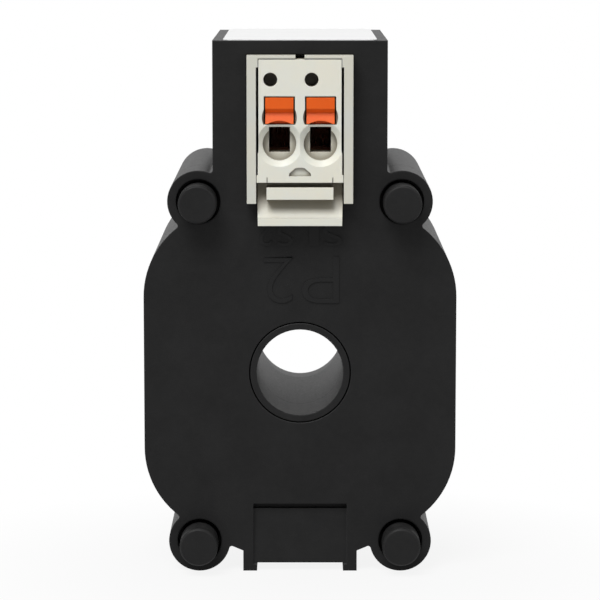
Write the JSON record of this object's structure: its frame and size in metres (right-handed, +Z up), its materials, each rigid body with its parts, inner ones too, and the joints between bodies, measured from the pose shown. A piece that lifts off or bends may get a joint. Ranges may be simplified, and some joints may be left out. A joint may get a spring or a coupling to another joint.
{
  "type": "current transformer",
  "caption": "Compact window-type current transformer: round-cornered black housing with a cable window, corner posts with stacking pegs, and a pluggable push-in connector in a tower on top.",
  "frame": {"origin": "centre of the primary window in the plane of the housing's front face", "axes": "+Z up from the base to the label, +Y along the window from the connector side to the back, +X to the right seen from the connector side"},
  "size_m": [0.027, 0.0278, 0.0462],
  "materials": {
    "black_plastic": "fine matt texture",
    "label": "smooth white film",
    "core_steel": "wound strip",
    "case_blue": "satin",
    "winding_copper": "enamelled",
    "tape_yellow": "thin film",
    "lead_red": "satin",
    "lead_blue": "satin",
    "grey_plastic": "satin moulding",
    "tin_pins": "tinned",
    "orange_plastic": "satin",
    "spring_steel": "bright",
    "contact_copper": "tinned copper"
  },
  "bodies": {
    "housing": {"front_cover": "black_plastic", "rear_shell": "black_plastic", "corner_pegs": "black_plastic", "rating_label": "label", "core": "core_steel", "core_case_front": "case_blue", "core_case_rear": "case_blue", "secondary_winding": "winding_copper", "winding_wrap": "tape_yellow", "lead_s1": "lead_red", "lead_s2": "lead_blue", "header_housing": "grey_plastic", "header_pin_s1": "tin_pins", "header_pin_s2": "tin_pins"},
    "plug": {"plug_body": "grey_plastic", "plug_rear_cap": "grey_plastic", "contact_s1": "contact_copper", "contact_s2": "contact_copper"},
    "pusher_left": {"pusher_s1": "orange_plastic"},
    "pusher_right": {"pusher_s2": "orange_plastic"},
    "spring_left": {"clamp_spring_s1": "spring_steel"},
    "spring_right": {"clamp_spring_s2": "spring_steel"},
    "lever": {"locking_lever": "grey_plastic"}
  },
  "joints": [
    {"name": "plug_pull", "type": "slide", "parent": "housing", "child": "plug", "axis": [0, -1, 0], "range_m": [0, 0.018]},
    {"name": "pusher_left_press", "type": "slide", "parent": "plug", "child": "pusher_left", "axis": [0, 1, 0], "range_m": [0, 0.001], "stiffness_N_per_m": 400},
    {"name": "pusher_right_press", "type": "slide", "parent": "plug", "child": "pusher_right", "axis": [0, 1, 0], "range_m": [0, 0.001], "stiffness_N_per_m": 400},
    {"name": "spring_left_open", "type": "hinge", "parent": "plug", "child": "spring_left", "pos_m": [-0.00175, 0.0034, 0.0252], "axis": [1, 0, 0], "range_deg": [0, 14.9]},
    {"name": "spring_right_open", "type": "hinge", "parent": "plug", "child": "spring_right", "pos_m": [0.00175, 0.0034, 0.0252], "axis": [1, 0, 0], "range_deg": [0, 14.9]},
    {"name": "lever_release", "type": "hinge", "parent": "plug", "child": "lever", "pos_m": [0, 0.005, 0.01622], "axis": [1, 0, 0], "range_deg": [0, 8], "stiffness_Nm_per_rad": 0.02}
  ],
  "couplings": [
    {"joint": "spring_left_open", "follows": "pusher_left_press", "rad_per_m": 258.3},
    {"joint": "spring_right_open", "follows": "pusher_right_press", "rad_per_m": 258.3}
  ]
}
